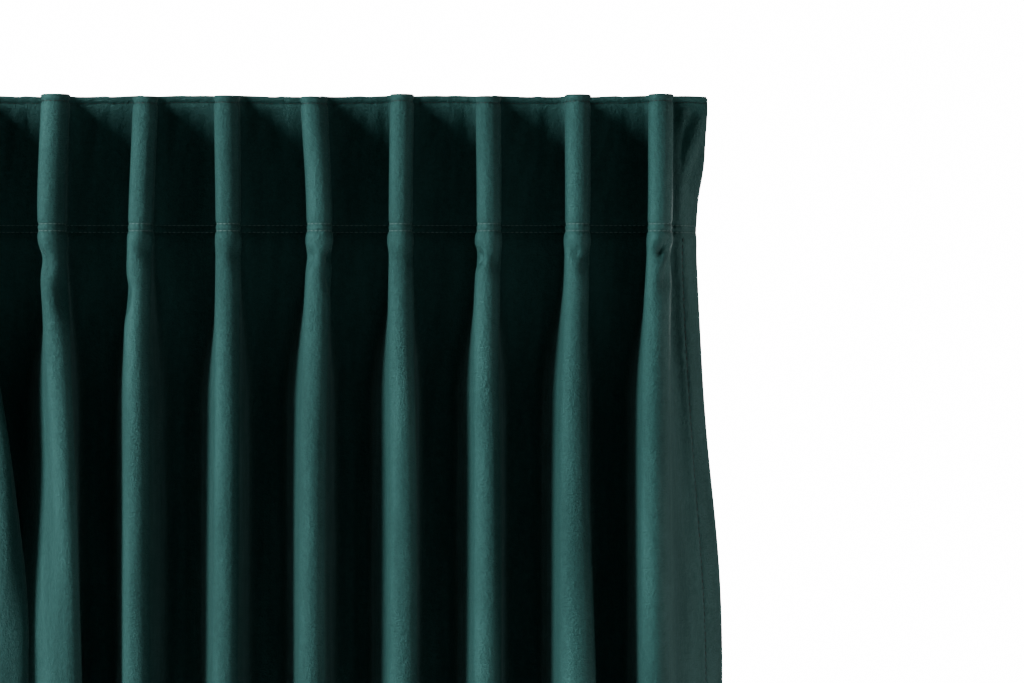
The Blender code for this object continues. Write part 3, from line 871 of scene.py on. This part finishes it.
def stitch_nodes():
    """Geometry nodes that lay one rounded stitch after another along each seam line."""
    tree = bpy.data.node_groups.new("stitches along a seam", "GeometryNodeTree")
    sockets = tree.interface
    sockets.new_socket("Seam", in_out="INPUT", socket_type="NodeSocketGeometry")
    for name in ("Stitch pitch", "Stitch length", "Thread thickness"):
        sockets.new_socket(name, in_out="INPUT", socket_type="NodeSocketFloat")
    sockets.new_socket("Thread", in_out="INPUT", socket_type="NodeSocketMaterial")
    sockets.new_socket("Stitches", in_out="OUTPUT", socket_type="NodeSocketGeometry")
    add, join = tree.nodes.new, tree.links.new
    given, made = add("NodeGroupInput"), add("NodeGroupOutput")
    curve = add("GeometryNodeMeshToCurve")
    spread = add("GeometryNodeResampleCurve")
    spread.mode = "LENGTH"
    stitch = add("GeometryNodeMeshUVSphere")
    stitch.inputs["Segments"].default_value = 6
    stitch.inputs["Rings"].default_value = 4
    stitch.inputs["Radius"].default_value = 0.5
    tangent = add("GeometryNodeInputTangent")
    turn = add("FunctionNodeAlignRotationToVector")
    turn.axis = "Z"
    size = add("ShaderNodeCombineXYZ")
    uneven = add("FunctionNodeRandomValue")
    uneven.data_type = "FLOAT_VECTOR"
    least, most = (i for i in uneven.inputs if i.enabled and i.type == "VECTOR")
    least.default_value = (0.9, 0.9, 0.9)
    most.default_value = (1.08, 1.08, 1.05)
    uneven.inputs["Seed"].default_value = 11
    scaled = add("ShaderNodeVectorMath")
    scaled.operation = "MULTIPLY"
    copies = add("GeometryNodeInstanceOnPoints")
    real = add("GeometryNodeRealizeInstances")
    rounded = add("GeometryNodeSetShadeSmooth")
    finish = add("GeometryNodeSetMaterial")
    join(given.outputs["Seam"], curve.inputs["Mesh"])
    join(curve.outputs["Curve"], spread.inputs["Curve"])
    join(given.outputs["Stitch pitch"], spread.inputs["Length"])
    join(spread.outputs["Curve"], copies.inputs["Points"])
    join(stitch.outputs["Mesh"], copies.inputs["Instance"])
    join(tangent.outputs["Tangent"], turn.inputs["Vector"])
    join(turn.outputs["Rotation"], copies.inputs["Rotation"])
    join(given.outputs["Thread thickness"], size.inputs["X"])
    join(given.outputs["Thread thickness"], size.inputs["Y"])
    join(given.outputs["Stitch length"], size.inputs["Z"])
    join(size.outputs["Vector"], scaled.inputs[0])
    join(next(o for o in uneven.outputs if o.enabled and o.type == "VECTOR"), scaled.inputs[1])
    join(scaled.outputs["Vector"], copies.inputs["Scale"])
    join(copies.outputs["Instances"], real.inputs["Geometry"])
    join(real.outputs["Geometry"], rounded.inputs["Geometry"])
    join(rounded.outputs["Geometry"], finish.inputs["Geometry"])
    join(given.outputs["Thread"], finish.inputs["Material"])
    join(finish.outputs["Geometry"], made.inputs["Stitches"])
    return tree


sewing = stitch_nodes()
green_thread = thread_material("dark green thread", (0.003, 0.009, 0.008), (0.008, 0.022, 0.020))
# The heading rows' thread is painted lighter than the dark green of the other rows, as a highlight
# along the seam.
painted_highlight_thread = thread_material("green thread with painted highlight", (0.050, 0.110, 0.102), (0.085, 0.165, 0.155))
white_thread = thread_material("white thread", (0.42, 0.42, 0.39), (0.62, 0.62, 0.58))


def seam_mesh(name, runs):
    """Lines of points, each with its drawn share."""
    points, edges, shares = [], [], []
    for line, share in runs:
        start = len(points)
        points += line.tolist()
        shares += share.tolist()
        edges += [(i, i + 1) for i in range(start, len(points) - 1)]
    mesh = bpy.data.meshes.new(name)
    mesh.from_pydata(points, edges, [])
    attribute = mesh.attributes.new("drawn", "FLOAT", "POINT")
    attribute.data.foreach_set("value", np.array(shares, np.float32))
    return mesh


def sewn(name, runs, pitch, length, thread, thickness=STITCH_THREAD):
    piece = new_piece(name, seam_mesh(name, runs))
    modifier = piece.modifiers.new("sewing", "NODES")
    modifier.node_group = sewing
    values = {
        "Stitch pitch": pitch,
        "Stitch length": length,
        "Thread thickness": thickness,
        "Thread": thread,
    }
    for socket in sewing.interface.items_tree:
        if socket.in_out == "INPUT" and socket.name in values:
            modifier[socket.identifier] = values[socket.name]
    return settled(piece)


def seam_across(z, off):
    """A line across the whole panel at one height, through points between the cloth's columns."""
    number, place = column_pleat[on_front], column_s[on_front]
    stand = off[on_front] if np.ndim(off) else np.full(len(place), off)
    steps = np.arange(SEAM_STEPS) / SEAM_STEPS
    lines, shares = [], []
    for i, (owner, last) in enumerate(zip(number[1:], place[1:])):
        first = place[i] if owner == number[i] else -HALF_CLOTH
        here = mix(first, last, steps)
        # A point on the nose counts to the side that its stretch of the line is on.
        here = np.where(np.abs(here) < 1e-9, math.copysign(1e-9, (first + last) / 2), here)
        spots = cloth_point(owner, here, z, mix(stand[i], stand[i + 1], steps))
        lines.append(np.stack(spots, axis=1))
        shares.append(drawn_share(owner, here, z))
    return np.concatenate(lines), np.concatenate(shares)


front_of_cloth = -(CLOTH / 2 + STITCH_THREAD * 0.25)
proud_behind = STITCH_THREAD * 0.2
top_seam = sewn(
    "top_stitching",
    [
        seam_across(TOP_STITCH_Z, front_of_cloth),
        seam_across(TOP_STITCH_Z, column_turned + CLOTH / 2 + proud_behind),
    ],
    STITCH_PITCH,
    STITCH_LENGTH,
    green_thread,
)
heading_seam = sewn(
    "heading_stitching",
    [seam_across(z, front_of_cloth) for z in HEADING_STITCH_Z],
    STITCH_PITCH,
    STITCH_LENGTH,
    painted_highlight_thread,
    HEADING_THREAD,
)
tape_stand = np.zeros(len(column_s))
tape_stand[on_front] = tape_off + TAPE / 2 + proud_behind
tape_seam = sewn(
    "tape_stitching",
    [seam_across(z, tape_stand) for z in (Z_TAPE_TOP - TAPE_STITCH_IN, *HEADING_STITCH_Z)],
    STITCH_PITCH,
    STITCH_LENGTH,
    white_thread,
)
foot_seam = sewn(
    "foot_hem_stitching",
    [seam_across(Z_FOOT + FOOT_HEM - FOOT_STITCH_IN, front_of_cloth)],
    HEM_STITCH_PITCH,
    FOOT_STITCH_LENGTH,
    green_thread,
)
for seam in (top_seam, heading_seam, tape_seam, foot_seam):
    draw_with_panel(seam)

for side_name, side, number in (("left", -1, 1), ("right", 1, PLEATS)):
    heights = np.linspace(HEADING_STITCH_Z[1] - 0.005, Z_FOOT + 0.006, SIDE_STITCH_POINTS)
    runs = []
    for off in (front_of_cloth, LAYER - front_of_cloth):
        spots = [cloth_point(number, [side * SIDE_SEAM], [z], [off]) for z in heights]
        runs.append((np.array(spots)[:, :, 0], np.zeros(len(heights))))
    side_seam = sewn(
        f"side_hem_stitching_{side_name}",
        runs,
        HEM_STITCH_PITCH,
        SIDE_STITCH_LENGTH,
        green_thread,
        SIDE_THREAD,
    )
    side_seam.data.attributes.remove(side_seam.data.attributes["drawn"])
    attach(side_seam, body_of_pleat(number))

# ---------------------------------------------------------------------------------------------
# THE HOOKS. Two-part adjustable hooks moulded in white acetal: a toothed stem that stands in the
# tape's pocket, and a slider that clicks up and down it and hangs on the rail's glider.
# ---------------------------------------------------------------------------------------------
HOOK_EDGE = 0.00035
STEM_EDGE = 0.00018


def moulded_plastic():
    material, nodes, links, shader = new_material("white hook plastic")
    place = nodes.new("ShaderNodeTexCoord").outputs["Object"]
    flow = noise_on(nodes, links, place, (1.0, 1.0), 90, 3)
    grain = noise_on(nodes, links, place, (1.0, 1.0), 1600, 3)
    colour = ramp_of(nodes, links, flow, ((0.3, (0.70, 0.70, 0.68)), (0.7, (0.80, 0.80, 0.785))))
    links.new(colour, shader.inputs["Base Color"])
    rough = ranged(nodes, links, flow, (0, 1), (0.30, 0.46))
    links.new(rough, shader.inputs["Roughness"])
    links.new(bump_of(nodes, links, grain, 0.2, 0.00006), shader.inputs["Normal"])
    return material


hook_plastic = moulded_plastic()


def rounded_copy(name, node, edge):
    """The CAD node's own shape with its edges broken, as a moulded part's are."""
    shape = bmesh.new()
    shape.from_mesh(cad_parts[node].data)
    bmesh.ops.remove_doubles(shape, verts=shape.verts, dist=1e-6)
    bmesh.ops.dissolve_limit(
        shape, angle_limit=math.radians(1), verts=shape.verts, edges=shape.edges
    )
    mesh = bpy.data.meshes.new(name)
    shape.to_mesh(mesh)
    shape.free()
    piece = new_piece(name, mesh, hook_plastic)
    bevel = piece.modifiers.new("broken edges", "BEVEL")
    bevel.width = edge
    bevel.segments = 2
    bevel.limit_method = "ANGLE"
    bevel.angle_limit = math.radians(20)
    settled(piece)
    for face in piece.data.polygons:
        face.use_smooth = True
    piece.data.set_sharp_from_angle(angle=math.radians(40))
    return piece


for number in range(1, PLEATS + 1):
    stem = rounded_copy(f"hook_stem_moulded_{number}", f"hook_stem_{number}", STEM_EDGE)
    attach(stem, body_of_pleat(number))
    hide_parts(f"hook_stem_{number}")
    slider = rounded_copy(f"hook_slider_moulded_{number}", f"hook_slider_{number}", HOOK_EDGE)
    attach(slider, f"slider_{number}")
    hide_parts(f"hook_slider_{number}")

# ---------------------------------------------------------------------------------------------
# THE STUDIO. A round pale floor just under the foot of the panel, a tall soft light high on the
# left that grazes the folds, weaker ones from the front and the right, one behind for the back, and
# a surround that is bright to the camera and dim to the cloth.
# ---------------------------------------------------------------------------------------------
FLOOR_GAP = 0.012
FLOOR_RADIUS = 7.0
FLOOR_SIDES = 96
FLOOR_GLOW = 2.2
SURROUND_DIM = 0.06
SURROUND_BRIGHT = 16.0
VIEW_DISTANCE = 2.4
VIEW_LENS = 134
VIEW_IN = 0.094  # of the middle of the view from the last pleat
VIEW_DOWN = 0.155  # and from the top


def studio_floor():
    mesh = bpy.data.meshes.new("studio_floor")
    z = Z_FOOT - FLOOR_GAP
    turns = [math.tau * i / FLOOR_SIDES for i in range(FLOOR_SIDES)]
    rim = [(FLOOR_RADIUS * math.cos(turn), FLOOR_RADIUS * math.sin(turn), z) for turn in turns]
    mesh.from_pydata(rim, [], [tuple(range(FLOOR_SIDES))])
    material, nodes, links, shader = new_material("pale studio floor")
    place = nodes.new("ShaderNodeTexCoord").outputs["Object"]
    tone = noise_on(nodes, links, place, (1.0, 1.0), 3, 2)
    colour = ramp_of(nodes, links, tone, ((0.3, (0.80, 0.80, 0.79)), (0.7, (0.84, 0.84, 0.83))))
    links.new(colour, shader.inputs["Base Color"])
    links.new(colour, shader.inputs["Emission Color"])
    seen = nodes.new("ShaderNodeLightPath").outputs["Is Camera Ray"]
    glow = ranged(nodes, links, seen, (0, 1), (0, FLOOR_GLOW))
    links.new(glow, shader.inputs["Emission Strength"])
    shader.inputs["Roughness"].default_value = 0.8
    return new_piece("studio_floor", mesh, material)


studio_floor()


def softbox(name, place, aim, size, power, colour=(1.0, 1.0, 1.0)):
    light = bpy.data.lights.new(name, "AREA")
    light.shape = "RECTANGLE"
    light.size, light.size_y = size
    light.energy = power
    light.color = colour
    lamp = bpy.data.objects.new(name, light)
    lamp.location = place
    lamp.rotation_euler = (Vector(aim) - Vector(place)).to_track_quat("-Z", "Y").to_euler()
    bpy.context.scene.collection.objects.link(lamp)


middle = (0, 0, Z_TOP - 0.9)
high = Z_TOP - 0.5
softbox("key_light", (-3.1, -1.40, high + 1.2), (0, 0, high), (0.9, 3.2), 350)
softbox("fill_light", (2.2, -2.6, high), middle, (1.2, 3.0), 14, (1.0, 0.90, 0.87))
softbox("side_light", (3.2, -0.1, high), middle, (0.8, 3.0), 62, (1.0, 0.86, 0.85))
softbox("rear_light", (0.6, 2.8, high - 0.3), middle, (2.2, 2.6), 90)

world = bpy.data.worlds.new("studio")
world.use_nodes = True
bpy.context.scene.world = world
nodes, links = world.node_tree.nodes, world.node_tree.links
surround = nodes["Background"]
seen = nodes.new("ShaderNodeLightPath").outputs["Is Camera Ray"]
level = ranged(nodes, links, seen, (0, 1), (SURROUND_DIM, SURROUND_BRIGHT))
links.new(level, surround.inputs["Strength"])
surround.inputs["Color"].default_value = (1, 1, 1, 1)

camera_data = bpy.data.cameras.new("camera")
camera_data.lens = VIEW_LENS
camera = bpy.data.objects.new("camera", camera_data)
aim = Vector((pleat_x[-1] - VIEW_IN, HEAD_Y - PLEAT_DEPTH, Z_TOP - VIEW_DOWN))
camera.location = aim - Vector((0, VIEW_DISTANCE, 0))
camera.rotation_euler = (math.pi / 2, 0, 0)
bpy.context.scene.collection.objects.link(camera)
bpy.context.scene.camera = camera

bpy.context.view_layer.update()
